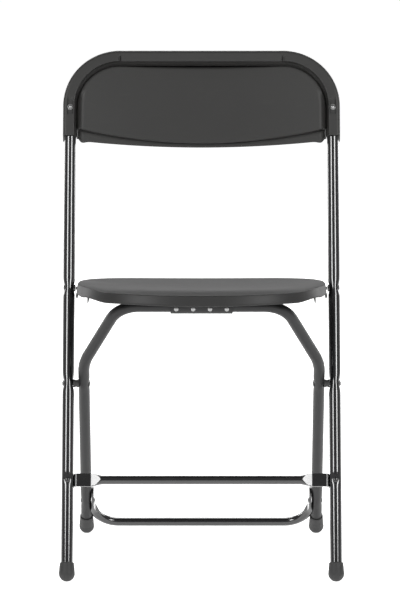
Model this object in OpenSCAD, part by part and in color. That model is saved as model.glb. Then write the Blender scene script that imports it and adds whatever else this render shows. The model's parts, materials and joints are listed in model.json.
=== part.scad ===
// Folding chair: a steel tube frame that closes like scissors, with a moulded seat and backrest.
// X is to the sitter's left and right, the chair faces -Y, and Z is up.
// The origin is on the floor under the middle of the chair's overall box.

/* [Overall] */
// Width over the two front legs
frame_w = 440; // [400:1:530]
// Length of the front frame, from the foot's tip to the top of its tube
frame_len = 856; // [800:1:1030]
// Lean of the front frame from upright, in degrees
frame_lean = 22; // [18:0.5:26]

/* [Tubes] */
// Diameter of the front frame's tube
front_d = 19; // [16:0.5:23]
// Diameter of the rear leg frame's tube
rear_d = 18; // [15:0.5:19]
// Wall of both tubes
tube_wall = 1.4; // [1:0.1:2]
// Diameter of the round middle of the front crossbar and of the rear brace
bar_d = 14; // [12:0.5:17]
// Thickness of the flattened ends of the crossbar and the brace
flat_t = 3.5; // [3:0.1:4.5]

/* [Scissor linkage] */
// Front foot tip to the scissor pivot, along the front frame
pivot_s = 315; // [290:1:330]
// Scissor pivot to the rear foot's tip, along the rear leg
rear_lower = 363; // [350:1:400]
// Scissor pivot to the seat's front hinge, along the rear leg
link_len = 177; // [170:1:200]
// Front foot tip to the seat pin, along the front frame
seat_pin_s = 469; // [463:1:474]
// Angle left between the two frames when the chair is folded, in degrees
folded_angle = 3.4; // [3.2:0.1:6]
// Angle between the seat and the rear legs when the chair is folded, in degrees
nest_angle = 1.5; // [1.2:0.1:3]
// Clear gap between the front tube and the rear leg at the scissor pivot
pivot_gap = 6.5; // [5:0.5:10]
// How far the rear legs spread outward, in degrees
splay = 0.6; // [0:0.1:1]

/* [Rear leg frame] */
// Scissor pivot to the point where the rear legs turn inward
knee_t = 48; // [40:1:60]
// Radius of that bend
knee_r = 90; // [60:1:100]
// Half width of the top cross tube, measured to its bends' corners
top_half = 128; // [110:1:140]
// Radius of the bends into the top cross tube
top_r = 48; // [40:1:55]

/* [Front frame] */
// Radius of the front frame's two top corners, on the tube's centre line
corner_r = 80; // [60:1:95]
// Height of the front crossbar along the front frame
crossbar_s = 160; // [130:1:165]

/* [Rear brace] */
// Brace's rivets above the rear foot's tip, along the leg
brace_rivet_t = 79; // [70:1:90]
// Brace's bottom run above the rear foot's tip, along the leg
brace_low_t = 24; // [22:1:26]
// Radius of the brace's two bends
brace_r = 42; // [30:1:45]

/* [Backrest] */
// Skin of the backrest outside the tube
back_skin = 2; // [1.6:0.1:3]
// Length of the sleeves along the front frame, from the top of the tube down
sleeve_len = 140; // [125:1:160]
// Depth of the backrest's panel at its middle, down from the top of the tube
panel_drop = 146; // [130:1:160]
// Rise of the panel's lower edge from its middle to its sides
panel_rise = 20; // [10:1:24]
// Hollow of the panel from its sides to its middle
panel_hollow = 16; // [8:1:20]
// Thickness of the panel
panel_t = 3; // [2.5:0.1:4]
// Backrest rivets below the top of the tube
back_rivet_drop = 92; // [88:1:100]

/* [Seat] */
// Side gap between the seat and the front tubes
seat_gap = 2.5; // [2:0.1:4]
// Seat in front of its hinge
seat_front = 72; // [60:1:80]
// Seat behind its hinge
seat_rear = 318; // [290:1:320]
// Downward tilt of the seat to the rear, in degrees
seat_tilt = 5.5; // [4.5:0.1:7]
// Seat's top above the hinge, along the middle of the seat
seat_h = 20.5; // [18:0.5:24]
// Seat's widest line behind the hinge
seat_wide_a = 130; // [110:1:140]
// Rise of the seat's top from its middle to its sides
seat_rise = 5; // [3:0.5:6]
// Thickness of the seat's top
seat_t = 3; // [2.5:0.1:3.2]
// Thickness of the seat's skirt
skirt_t = 2.5; // [2:0.1:3]

/* [Feet and rivets] */
// Largest diameter of the front feet
front_foot_d = 25.2; // [24:0.1:30]
// Largest diameter of the rear feet
rear_foot_d = 24.6; // [23:0.1:27]
// Length of the front feet along their tubes, above the ball of the foot
front_foot_len = 17; // [14:1:30]
// Length of the rear feet along their tubes, above the ball of the foot
rear_foot_len = 26; // [20:1:34]
// Diameter of the shanks of the pivot rivets
pivot_d = 6.4; // [5:0.1:7]
// Diameter of the shanks of the small rivets
rivet_d = 4.8; // [4:0.1:5.5]

/* [Hidden] */
$fn = 64;

left = -1;
right = 1;
bottomless = 60;             // a cut that runs well past what it cuts
over = 1;                    // how far a short cut or a joined solid runs past a face
running = 0.06;              // radial clearance of a shaft that turns in a hole
push = 0.1;                  // radial clearance of the backrest on its tube
round_fn = 720;              // sides of the very large arcs

front_r = front_d / 2;
rear_r = rear_d / 2;
bar_r = bar_d / 2;
pivot_r = pivot_d / 2;
rivet_r = rivet_d / 2;
leg_x = frame_w / 2 - front_r;             // middle of a front leg
inner_x = leg_x - front_r;                 // inner face of a front leg
outer_x = leg_x + front_r;                 // outer face of a front leg
rear_x = inner_x - pivot_gap - rear_r;     // middle of a rear leg at the scissor pivot
tube_top = frame_len - front_r;            // middle of the top tube
back_rivet_s = frame_len - back_rivet_drop;

pivot_y = pivot_s * sin(frame_lean);
pivot_z = pivot_s * cos(frame_lean);
rear_lean = acos(pivot_z / rear_lower);    // both feet stand on one floor
hinge_y = pivot_y - link_len * sin(rear_lean);
hinge_z = pivot_z + link_len * cos(rear_lean);

// Seat pin, measured from the seat's hinge along and above the seat
pin_dy = seat_pin_s * sin(frame_lean) - hinge_y;
pin_dz = seat_pin_s * cos(frame_lean) - hinge_z;
open_a = pin_dy * cos(seat_tilt) - pin_dz * sin(seat_tilt);
open_h = pin_dy * sin(seat_tilt) + pin_dz * cos(seat_tilt);

// The same pin when the chair is folded: the seat then lies almost along the rear legs
pin_up = seat_pin_s - pivot_s;
fold_a = link_len * cos(nest_angle) - pin_up * cos(folded_angle + nest_angle);
fold_h = -link_len * sin(nest_angle) + pin_up * sin(folded_angle + nest_angle);
slot_angle = atan2(open_h - fold_h, open_a - fold_a);
slot_len = norm([open_a - fold_a, open_h - fold_h]);

ball_front = front_foot_d / 2;
ball_rear = rear_foot_d / 2;
squash = 0.8;                              // how far the floor flattens the ball of a foot
ball_front_s = (ball_front - squash) / cos(frame_lean);
ball_rear_t = (ball_rear - squash) / cos(rear_lean);
foot_wall = 1.8;
foot_rim = 2;                              // length of the bevel at a foot's upper rim
foot_bevel = 0.8;
tube_seat = 3;                             // the tube ends this far below the ball's middle

seat_skirt_low = 3;                        // skirt's lower edge above the hinge

// The overall box runs from the seat's front edge to the back of the rear feet
front_edge_y = hinge_y - seat_front * cos(seat_tilt) + seat_skirt_low * sin(seat_tilt);
rear_edge_y = pivot_y + (rear_lower - ball_rear_t) * sin(rear_lean) + ball_rear;
mid_y = (front_edge_y + rear_edge_y) / 2;

// Front frame: x across, y through the frame to the rear, z along the frame from the foot's tip
module on_front() {
    translate([0, -mid_y, 0])
        rotate([-frame_lean, 0, 0])
            children();
}

// Rear leg frame: the same, with z along the leg from the scissor pivot
module on_rear() {
    translate([0, pivot_y - mid_y, pivot_z])
        rotate([rear_lean, 0, 0])
            children();
}

// One rear leg: z along the spread leg, from the scissor pivot
module on_leg(side) {
    on_rear()
        translate([side * rear_x, 0, 0])
            rotate([0, -side * splay, 0])
                children();
}

// Seat: x across, y along the seat from its hinge, z above the hinge
module on_seat() {
    translate([0, hinge_y - mid_y, hinge_z])
        rotate([-seat_tilt, 0, 0])
            children();
}

// Path of a bent tube: points in x and z, one bend radius for each, and a section drawn with x
// toward the path's right-hand side and y through it
function heading(a, b) = atan2(b[0] - a[0], b[1] - a[1]);
function turned(a) = a > 180 ? a - 360 : (a < -180 ? a + 360 : a);
function inner_point(points, i) = i > 0 && i < len(points) - 1;
function turn_at(points, i) = !inner_point(points, i) ? 0
    : turned(heading(points[i], points[i + 1]) - heading(points[i - 1], points[i]));
function setback(points, radii, i) = radii[i] * tan(abs(turn_at(points, i)) / 2);
function ahead(angle) = [sin(angle), cos(angle)];
function beside(angle) = [cos(angle), -sin(angle)];

// Straight stretches reach a little into the bends, and the bends are a hair fuller, so they join
lap = 1;
fuller = 1.005;

module sweep(points, radii) {
    for (i = [0 : len(points) - 2]) {
        angle = heading(points[i], points[i + 1]);
        before = setback(points, radii, i) - (radii[i] > 0 ? lap : 0);
        after = setback(points, radii, i + 1) - (radii[i + 1] > 0 ? lap : 0);
        start = points[i] + ahead(angle) * before;
        translate([start[0], 0, start[1]])
            rotate([0, angle, 0])
                linear_extrude(norm(points[i + 1] - points[i]) - before - after)
                    children();
    }
    for (i = [1 : len(points) - 2]) {
        turn = turn_at(points, i);
        angle = heading(points[i - 1], points[i]);
        side = turn > 0 ? 1 : -1;
        start = points[i] - ahead(angle) * setback(points, radii, i);
        centre = start + beside(angle) * radii[i] * side;
        translate([centre[0], 0, centre[1]])
            rotate([90, turn > 0 ? turn + angle - 180 : angle, 0])
                rotate_extrude(angle = abs(turn))
                    translate([radii[i], 0])
                        mirror([turn > 0 ? 1 : 0, 0])
                            mirror([0, 1])
                                scale(fuller)
                                    children();
    }
}

// Both halves of a frame that is the same on its two sides: the path runs from the middle out
module sweep_both(points, radii) {
    sweep(points, radii)
        children();
    mirror([1, 0, 0])
        sweep(points, radii)
            children();
}

// Hollow tube along such a path
module bent_tube(points, radii, r) {
    sweep_both(points, radii)
        difference() {
            circle(r);
            circle(r - tube_wall);
        }
}

// Rod along x, from one place to another
module rod_x(r, from, to) {
    translate([min(from, to), 0, 0])
        rotate([0, 90, 0])
            cylinder(r = r, h = abs(to - from));
}

// Rod along y, from one place to another
module rod_y(r, from, to) {
    translate([0, min(from, to), 0])
        rotate([-90, 0, 0])
            cylinder(r = r, h = abs(to - from));
}

// Domed rivet head on the plane z = 0
module dome(r, height) {
    ball = (r * r + height * height) / (2 * height);
    intersection() {
        translate([0, 0, height - ball])
            sphere(ball);
        cylinder(r = r + over, h = height + over);
    }
}

function front_path(low) = [[0, tube_top], [leg_x, tube_top], [leg_x, low]];
front_radii = [0, corner_r, 0];

module front_frame_tube() {
    color("black")
    on_front()
        difference() {
            bent_tube(front_path(ball_front_s - tube_seat), front_radii, front_r);
            for (side = [left, right]) {
                for (s = [pivot_s, seat_pin_s])
                    translate([0, 0, s])
                        rod_x(pivot_r, side * (inner_x - over), side * (outer_x + over));
                translate([side * leg_x, 0, crossbar_s])
                    rod_y(rivet_r, -front_r - over, front_r + over);
                translate([side * leg_x, 0, back_rivet_s])
                    rod_y(rivet_r, -front_r - over, 0);
            }
        }
}

// Backrest: a channel that snaps over the tube from the front, joined by a hollow panel
sleeve_r = front_r + back_skin;
sleeve_front_t = 3.6;
sleeve_face = front_r + sleeve_front_t;
sleeve_edge = 3;                           // bevel along the channel's front edges
sleeve_low = frame_len - sleeve_len;
panel_low = frame_len - panel_drop;
panel_half = leg_x - sleeve_r + over;
panel_side_y = -6;
panel_arc = (panel_half * panel_half + panel_hollow * panel_hollow) / (2 * panel_hollow);
panel_axis_y = panel_side_y + panel_hollow - panel_arc;
edge_arc = (panel_half * panel_half + panel_rise * panel_rise) / (2 * panel_rise);
lip_depth = 14;
lip_drop = 9;
lip_rise = 8;
lip_arc = (panel_half * panel_half + lip_rise * lip_rise) / (2 * lip_rise);
pocket_w = 12.4;
pocket_h = 25;
pocket_y = -front_r - 1.3;
mouth_w = front_d * 0.74;                  // the channel's rear opening, narrower than the tube
shelf_up = 3;                              // how far the shelf reaches into the channel's wall

module sleeve_section() {
    circle(sleeve_r);
    polygon([[-sleeve_r, 0], [-sleeve_r, -sleeve_face + sleeve_edge],
        [-sleeve_r + sleeve_edge, -sleeve_face], [sleeve_r - sleeve_edge, -sleeve_face],
        [sleeve_r, -sleeve_face + sleeve_edge], [sleeve_r, 0]]);
}

// Front outline of the panel, drawn with y along the frame
module panel_outline(low, arc) {
    corner = [leg_x - corner_r, tube_top - corner_r];
    intersection() {
        union() {
            translate([-leg_x, low - over])
                square([2 * leg_x, corner[1] - low + over]);
            translate([-corner[0], low - over])
                square([2 * corner[0], tube_top - low + over]);
            for (side = [left, right])
                translate([side * corner[0], corner[1]])
                    circle(corner_r);
        }
        translate([0, low + arc])
            circle(arc, $fn = round_fn);
    }
}

module through_panel() {
    translate([0, bottomless, 0])
        rotate([90, 0, 0])
            linear_extrude(2 * bottomless)
                children();
}

module panel_shell(from, to) {
    translate([0, panel_axis_y, panel_low - 2 * lip_drop])
        linear_extrude(panel_drop + 2 * lip_drop)
            intersection() {
                difference() {
                    circle(panel_arc + to, $fn = round_fn);
                    circle(panel_arc + from, $fn = round_fn);
                }
                translate([-panel_half, panel_arc - panel_hollow - over])
                    square([2 * panel_half, panel_hollow + to + 2 * over]);
            }
}

module backrest() {
    color([0.16, 0.155, 0.15])
    on_front()
        difference() {
            union() {
                sweep_both(front_path(sleeve_low), front_radii)
                    sleeve_section();
                intersection() {
                    panel_shell(0, panel_t);
                    through_panel() panel_outline(panel_low, edge_arc);
                }
                // Web that turns the panel's lower edge to the rear, and the lip at its end
                intersection() {
                    panel_shell(0, lip_depth - over);
                    through_panel()
                        difference() {
                            panel_outline(panel_low, edge_arc);
                            panel_outline(panel_low + panel_t, edge_arc);
                        }
                }
                intersection() {
                    panel_shell(lip_depth - panel_t, lip_depth);
                    through_panel()
                        difference() {
                            panel_outline(panel_low - lip_drop, lip_arc);
                            panel_outline(panel_low + panel_t / 2, edge_arc);
                        }
                }
                // Shelf that joins the panel's upper edge to the channel
                intersection() {
                    translate([-leg_x, 0, tube_top - sleeve_r - panel_t])
                        cube([2 * leg_x, 2 * bottomless, panel_t + shelf_up]);
                    translate([0, panel_axis_y, 0])
                        cylinder(r = panel_arc + panel_t, h = frame_len, $fn = round_fn);
                    through_panel() panel_outline(panel_low, edge_arc);
                }
            }
            sweep_both(front_path(sleeve_low - over), front_radii)
                circle(front_r + push);
            sweep_both(front_path(sleeve_low - over), front_radii)
                translate([-mouth_w / 2, 0])
                    square([mouth_w, sleeve_r + over]);
            for (side = [left, right]) {
                translate([side * leg_x - pocket_w / 2, -bottomless, back_rivet_s - pocket_h / 2])
                    cube([pocket_w, bottomless + pocket_y, pocket_h]);
                translate([side * leg_x, 0, back_rivet_s])
                    rod_y(rivet_r, -sleeve_face - over, 0);
            }
        }
}

back_head_r = 4.4;
back_head_t = 2;
back_tail_y = -front_r + tube_wall + 2;    // end of the rivet's shank inside the tube
back_tail_t = 1.5;

module backrest_rivet(side) {
    color("silver")
    on_front()
        translate([side * leg_x, 0, back_rivet_s]) {
            rod_y(rivet_r, pocket_y, back_tail_y);
            translate([0, back_tail_y, 0])
                rotate([-90, 0, 0])
                    dome(rivet_r, back_tail_t);
            translate([0, pocket_y, 0])
                rotate([90, 0, 0])
                    dome(back_head_r, back_head_t);
        }
}

// Front crossbar: a round bar with flattened ends that step back behind the front legs
lug_y = front_r;
bar_face = -1;                             // rear face of the flattened part, where the legs rest
flat_h = 21;
lug_out = leg_x + 9;
step_x = inner_x - 0.4;                    // inner face of the step, just clear of the leg
flat_in = rear_x - rear_r - 5;
bar_y = bar_face - flat_t / 2;
press_len = 16;                            // length over which the round bar is pressed flat
press_lap = 4;
bar_head_r = 5;
bar_head_t = 2;
saddle_r = 5;
saddle_t = 1.6;
saddle_deep = 1.4;                         // how far a head's skirt reaches around a tube

module crossbar_end_section() {
    polygon([[flat_in, bar_face], [step_x - flat_t, bar_face], [step_x - flat_t, lug_y + flat_t],
        [lug_out, lug_y + flat_t], [lug_out, lug_y], [step_x, lug_y],
        [step_x, bar_face - flat_t], [flat_in, bar_face - flat_t]]);
}

module front_crossbar() {
    color("black")
    on_front()
        translate([0, 0, crossbar_s])
            difference() {
                union() {
                    for (side = [0, 1])
                        mirror([side, 0, 0]) {
                            translate([0, 0, -flat_h / 2])
                                linear_extrude(flat_h)
                                    crossbar_end_section();
                            translate([flat_in + over, bar_y, 0])
                                rotate([0, -90, 0])
                                    cylinder(r1 = flat_t / 2, r2 = bar_r, h = press_len);
                        }
                    translate([0, bar_y, 0])
                        rod_x(bar_r, -flat_in + press_len - press_lap, flat_in - press_len + press_lap);
                }
                for (side = [left, right])
                    translate([side * leg_x, 0, 0])
                        rod_y(rivet_r, lug_y - over, lug_y + flat_t + over);
            }
}

module crossbar_rivet(side) {
    color("black")
    on_front()
        translate([side * leg_x, 0, crossbar_s]) {
            rod_y(rivet_r, -front_r, lug_y + flat_t);
            translate([0, lug_y + flat_t, 0])
                rotate([-90, 0, 0])
                    dome(bar_head_r, bar_head_t);
            saddle_head(saddle_r, saddle_t);
        }
}

// Head that sits on the front of a tube: its underside follows the tube
module saddle_head(r, height) {
    difference() {
        translate([0, -front_r + saddle_deep, 0])
            rotate([90, 0, 0])
                union() {
                    cylinder(r = r, h = saddle_deep);
                    translate([0, 0, saddle_deep])
                        dome(r, height);
                }
        translate([0, 0, -bottomless / 2])
            cylinder(r = front_r, h = bottomless);
    }
}

// Rubber foot: a cup with a ball at its end, flattened where it stands
module foot_shape(ball, ball_z, tube_r, foot_len) {
    top = ball_z + foot_len;
    difference() {
        union() {
            translate([0, 0, ball_z])
                sphere(ball);
            translate([0, 0, ball_z])
                cylinder(r1 = ball, r2 = tube_r + foot_wall, h = foot_len - foot_rim);
            translate([0, 0, top - foot_rim])
                cylinder(r1 = tube_r + foot_wall, r2 = tube_r + foot_wall - foot_bevel, h = foot_rim);
        }
        translate([0, 0, ball_z - tube_seat])
            cylinder(r = tube_r, h = bottomless);
    }
}

module above_floor() {
    intersection() {
        children();
        translate([-frame_w, -frame_len, 0])
            cube([2 * frame_w, 2 * frame_len, frame_len]);
    }
}

module front_foot(side) {
    color([0.05, 0.05, 0.05])
    above_floor()
        on_front()
            translate([side * leg_x, 0, 0])
                foot_shape(ball_front, ball_front_s, front_r, front_foot_len);
}

module rear_foot(side) {
    color([0.05, 0.05, 0.05])
    above_floor()
        on_leg(side)
            translate([0, 0, -rear_lower])
                foot_shape(ball_rear, ball_rear_t, rear_r, rear_foot_len);
}

// Scissor pivot: a rivet through both tubes, with a spacer between them
head_r = 6.5;
head_t = 2.2;
head_in = 1.6;                             // how far a head's skirt reaches around the tube
head_up = 0.2;                             // how far that skirt stands off the tube's side
tail_r = 6;
tail_t = 2.4;
spacer_r = 6.3;
spacer_gap = 0.1;
collar_r = 5.5;
collar_t = 1;

// Head on the outer face of a front leg, with a skirt around the tube
module outer_head(side) {
    rod_x(head_r, side * (outer_x - head_in), side * (outer_x + head_up));
    translate([side * (outer_x + head_up), 0, 0])
        rotate([0, side * 90, 0])
            dome(head_r, head_t);
}

// What a front leg's tube leaves of a rivet: all but the shank in its holes
module front_leg_but_hole(side) {
    translate([side * leg_x, 0, -bottomless / 2])
        difference() {
            cylinder(r = front_r, h = bottomless);
            translate([0, 0, bottomless / 2])
                rod_x(pivot_r, -bottomless, bottomless);
        }
}

module pivot_rivet(side) {
    color("black")
    on_front()
        translate([0, 0, pivot_s])
            difference() {
                union() {
                    rod_x(pivot_r, side * (rear_x - rear_r - over), side * outer_x);
                    outer_head(side);
                    translate([side * (rear_x - rear_r - running), 0, 0])
                        rotate([0, -side * 90, 0])
                            dome(tail_r, tail_t);
                }
                front_leg_but_hole(side);
            }
}

module pivot_spacer(side) {
    color([0.1, 0.1, 0.1])
    on_front()
        translate([0, 0, pivot_s])
            difference() {
                rod_x(spacer_r, side * (rear_x + rear_r + spacer_gap), side * (inner_x + head_in));
                rod_x(pivot_r + running, 0, side * frame_w);
                translate([side * leg_x, 0, -bottomless / 2])
                    cylinder(r = front_r, h = bottomless);
            }
}

// Seat pin: a rivet through the front tube whose inner collar faces the seat's glide
module seat_pin(side) {
    color("black")
    on_front()
        translate([0, 0, seat_pin_s])
            difference() {
                union() {
                    rod_x(pivot_r, side * (inner_x - collar_t), side * outer_x);
                    rod_x(collar_r, side * (inner_x - collar_t), side * (inner_x + head_in));
                    outer_head(side);
                }
                front_leg_but_hole(side);
            }
}

// Rear leg frame: one tube from foot to foot, over the top under the seat's front
leg_low = -rear_lower + ball_rear_t - tube_seat;
low_x = rear_x - leg_low * tan(splay);
knee_x = rear_x - knee_t * tan(splay);
rear_points = [[0, link_len], [top_half, link_len], [knee_x, knee_t], [low_x, leg_low]];
rear_radii = [0, top_r, knee_r, 0];

module rear_leg_frame() {
    color("black")
    difference() {
        on_rear()
            difference() {
                bent_tube(rear_points, rear_radii, rear_r);
                for (side = [left, right])
                    translate([side * rear_x, 0, 0])
                        rod_x(pivot_r + running, -rear_r - over, rear_r + over);
            }
        for (side = [left, right])
            on_leg(side)
                translate([0, 0, brace_rivet_t - rear_lower])
                    rod_x(rivet_r, -rear_r - over, rear_r + over);
    }
}

// Rear brace: a bent bar whose flattened arms are riveted to the legs' inner faces
arm_in = rear_r + flat_t / 2;
arm_low = brace_low_t - rear_lower;
arm_up = 6;                                // straight round stretch above each bend
arm_bend = arm_low + brace_r + arm_up;
arm_x = rear_x - arm_in;
function arm_at(z) = arm_x - z * tan(splay);
brace_points = [[0, arm_low], [arm_at(arm_low), arm_low], [arm_at(arm_bend), arm_bend]];
brace_radii = [0, brace_r, 0];
arm_w = 20;
arm_over = 28;                             // from the rivet to the arm's upper end
arm_top = brace_rivet_t - rear_lower + arm_over;
arm_flat = 8;                              // from that stretch to the arm's full width
arm_press = 18;
brace_head_r = 4.6;
brace_head_t = 2.2;
brace_tail_r = 4.4;
brace_tail_t = 1.3;
brace_tail_in = 1.2;

module rear_brace() {
    color("black")
    difference() {
        union() {
            on_rear()
                sweep_both(brace_points, brace_radii)
                    circle(bar_r);
            for (side = [left, right])
                on_leg(side)
                    translate([-side * arm_in, 0, 0]) {
                        translate([-flat_t / 2, -arm_w / 2, arm_bend + arm_flat])
                            cube([flat_t, arm_w, arm_top - arm_bend - arm_flat - arm_w / 2]);
                        translate([0, 0, arm_top - arm_w / 2])
                            rod_x(arm_w / 2, -flat_t / 2, flat_t / 2);
                        translate([0, 0, arm_bend - arm_up])
                            intersection() {
                                cylinder(r1 = bar_r, r2 = arm_w / 2, h = arm_press);
                                translate([-flat_t / 2, -arm_w, 0])
                                    cube([flat_t, 2 * arm_w, arm_press]);
                            }
                    }
        }
        for (side = [left, right])
            on_leg(side) {
                translate([0, 0, brace_rivet_t - rear_lower])
                    rod_x(rivet_r, -rear_r - flat_t - over, rear_r + flat_t + over);
                translate([0, 0, arm_low])
                    cylinder(r = rear_r, h = rear_lower);
            }
    }
}

module brace_rivet(side) {
    color("black")
    on_leg(side)
        translate([0, 0, brace_rivet_t - rear_lower])
            difference() {
                union() {
                    rod_x(rivet_r, -side * (rear_r + flat_t), side * rear_r);
                    translate([-side * (rear_r + flat_t), 0, 0])
                        rotate([0, -side * 90, 0])
                            dome(brace_head_r, brace_head_t);
                    rod_x(brace_tail_r, side * (rear_r - brace_tail_in), side * (rear_r + head_up));
                    translate([side * (rear_r + head_up), 0, 0])
                        rotate([0, side * 90, 0])
                            dome(brace_tail_r, brace_tail_t);
                }
                translate([0, 0, -bottomless / 2])
                    difference() {
                        cylinder(r = rear_r, h = bottomless);
                        translate([0, 0, bottomless / 2])
                            rod_x(rivet_r, -bottomless, bottomless);
                    }
            }
}

// Seat: a dished top with a skirt all round, open underneath
seat_half = inner_x - seat_gap;
front_power = 2.6;                           // how square the front and rear outlines are
rear_power = 6;
outline_steps = 24;
dish_r = (seat_half * seat_half + seat_rise * seat_rise) / (2 * seat_rise);
rib_low = rear_r + 1;                      // clear of the rear legs, which fold in under the seat
rib_t = 2;
rib_pitch = 0.3 * seat_half;
rib_front_a = 34;
rib_len = seat_rear - rib_front_a - 46;
rib_in = 0.5;                              // how far the ribs reach into the seat's top
slot_r = 2.6;
rail_rivet_r = 1.6;
rail_rivet_deep = 1.6;
rail_rivet_in = 4.5;                       // rivets from the flange's inner edge
rail_gap = 0.5;

// A quarter of the seat's rounded outline, from its end to its widest line
function outline_quarter(half, depth, power) = [for (k = [0 : outline_steps])
    let (turn = 90 * k / outline_steps)
        [half * pow(sin(turn), 2 / power), depth * pow(cos(turn), 2 / power)]];

module seat_outline(inset) {
    half = seat_half - inset;
    front = outline_quarter(half, seat_front + seat_wide_a - inset, front_power);
    rear = outline_quarter(half, seat_rear - seat_wide_a - inset, rear_power);
    translate([0, seat_wide_a])
        polygon(concat(
            [for (k = [outline_steps : -1 : 0]) rear[k]],
            [for (k = [1 : outline_steps]) [-rear[k][0], rear[k][1]]],
            [for (k = [outline_steps - 1 : -1 : 0]) [-front[k][0], -front[k][1]]],
            [for (k = [1 : outline_steps - 1]) [front[k][0], -front[k][1]]]));
}

// Everything below the seat's dished top, lowered by a depth, from a level upward
module under_dish(depth, low) {
    translate([0, seat_rear + over, 0])
        rotate([90, 0, 0])
            linear_extrude(seat_front + seat_rear + 2 * over)
                difference() {
                    translate([-seat_half - over, low])
                        square([2 * (seat_half + over), seat_h + seat_rise - low]);
                    translate([0, seat_h + dish_r])
                        circle(dish_r + depth, $fn = round_fn);
                }
}

module seat_block(depth, inset, low) {
    intersection() {
        translate([0, 0, low])
            linear_extrude(seat_h + seat_rise - low)
                seat_outline(inset);
        under_dish(depth, low);
    }
}

// The skirt's lower edge climbs to the front corners, where the glide leaves it as the chair folds
corner_rise = 9;
corner_in = 90;
corner_out = 180;
corner_a = 16;
corner_end_a = 126;

module corner_cut() {
    top = seat_skirt_low + corner_rise;
    intersection() {
        translate([0, seat_rear, 0])
            rotate([90, 0, 0])
                linear_extrude(seat_front + seat_rear + over)
                    for (side = [left, right])
                        polygon([[side * corner_in, 0], [side * corner_in, seat_skirt_low],
                            [side * corner_out, top], [side * frame_w, top], [side * frame_w, 0]]);
        translate([-frame_w, 0, 0])
            rotate([90, 0, 90])
                linear_extrude(2 * frame_w)
                    polygon([[-seat_front - over, 0], [-seat_front - over, top], [corner_a, top],
                        [corner_end_a, seat_skirt_low], [corner_end_a, 0]]);
    }
}

// Bar along the slot, from its folded to its open end
module slot_bar(r, from, to) {
    on_slot() {
        for (along = [0, slot_len])
            translate([0, along, 0])
                rod_x(r, from, to);
        translate([min(from, to), 0, -r])
            cube([abs(to - from), slot_len, 2 * r]);
    }
}

// Along the slot: y from its folded end to its open end
module on_slot() {
    translate([0, fold_a, fold_h])
        rotate([slot_angle, 0, 0])
            children();
}

module rail_rivet_places() {
    for (side = [left, right], part = [0.06, 0.5, 0.94])
        translate([side * (flange_in + rail_rivet_in), fold_a + part * (open_a - fold_a), 0])
            children();
}

module strap_rivet_places() {
    for (k = [-1.5 : 1 : 1.5], along = [-strap_flange, strap_flange])
        translate([k * strap_pitch, along, 0])
            children();
}

module seat() {
    color([0.13, 0.13, 0.13])
    on_seat()
        difference() {
            union() {
                difference() {
                    seat_block(0, 0, seat_skirt_low);
                    seat_block(seat_t, skirt_t, seat_skirt_low - over);
                }
                // Ribs under the top
                intersection() {
                    for (k = [-2 : 2])
                        translate([k * rib_pitch - rib_t / 2, rib_front_a, rib_low])
                            cube([rib_t, rib_len, seat_h + seat_rise - rib_low]);
                    under_dish(seat_t - rib_in, 0);
                }
            }
            for (side = [left, right])
                slot_bar(slot_r, side * (rail_x + rail_gap), side * (seat_half + over));
            corner_cut();
            rail_rivet_places()
                cylinder(r = rail_rivet_r, h = rail_top + rail_rivet_deep);
            strap_rivet_places()
                cylinder(r = strap_rivet_r, h = under_h + strap_rivet_deep);
        }
}

// Hinge strap: a folded plate under the seat's front that carries the top cross tube
strap_half = 48;
strap_pitch = 26;
strap_t = 1.5;
liner_t = 1;
strap_rivet_deep = 2;
liner_r = rear_r + running;
strap_r = liner_r + liner_t;
strap_edge = 7;                            // from the strap's bend to its rivets, and on to its edge
strap_flange = strap_r + strap_t + strap_edge;
strap_rivet_r = 2;
strap_head_r = 3.4;
strap_head_t = 1.4;
under_h = seat_h - seat_t;
liner_angle = -20;                         // the liner's rivets sit below the tube's front

module strap_section(r, top) {
    difference() {
        union() {
            circle(r);
            translate([-r, 0])
                square([2 * r, top]);
        }
        translate([-r - over, top])
            square([2 * (r + over), bottomless]);
    }
}

module across(half) {
    translate([-half, 0, 0])
        rotate([90, 0, 90])
            linear_extrude(2 * half)
                children();
}

module hinge_strap() {
    color("dimgray")
    on_seat()
        difference() {
            across(strap_half) {
                strap_section(strap_r + strap_t, under_h);
                translate([-strap_flange - strap_edge, under_h - strap_t])
                    square([2 * (strap_flange + strap_edge), strap_t]);
            }
            across(strap_half + over)
                strap_section(strap_r, under_h + over);
            strap_rivet_places()
                cylinder(r = strap_rivet_r, h = bottomless);
            liner_rivet_places()
                cylinder(r = strap_rivet_r, h = bottomless);
        }
}

module liner_rivet_places() {
    for (k = [-1.5 : 1 : 1.5])
        translate([k * strap_pitch, 0, 0])
            rotate([90 - liner_angle, 0, 0])
                children();
}

module hinge_liner() {
    color("ivory")
    on_seat()
        difference() {
            across(strap_half)
                difference() {
                    strap_section(strap_r, rear_r);
                    strap_section(liner_r, rear_r + over);
                }
            liner_rivet_places()
                cylinder(r = strap_rivet_r, h = bottomless);
        }
}

liner_rivet_in = 0.2;                      // the rivets end this far short of the tube
liner_head_in = 0.4;
liner_head_t = 1.2;

module liner_rivets() {
    color("silver")
    on_seat()
        difference() {
            liner_rivet_places() {
                translate([0, 0, liner_r + liner_rivet_in])
                    cylinder(r = strap_rivet_r, h = strap_t + liner_t - liner_rivet_in);
                translate([0, 0, strap_r + strap_t - liner_head_in])
                    difference() {
                        union() {
                            cylinder(r = strap_head_r, h = liner_head_in + 0.1);
                            translate([0, 0, liner_head_in + 0.1])
                                dome(strap_head_r, liner_head_t);
                        }
                        cylinder(r = strap_rivet_r - liner_rivet_in, h = liner_head_in);
                    }
            }
            difference() {
                across(strap_half)
                    circle(strap_r + strap_t);
                liner_rivet_places()
                    cylinder(r = strap_rivet_r, h = bottomless);
            }
        }
}

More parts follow.
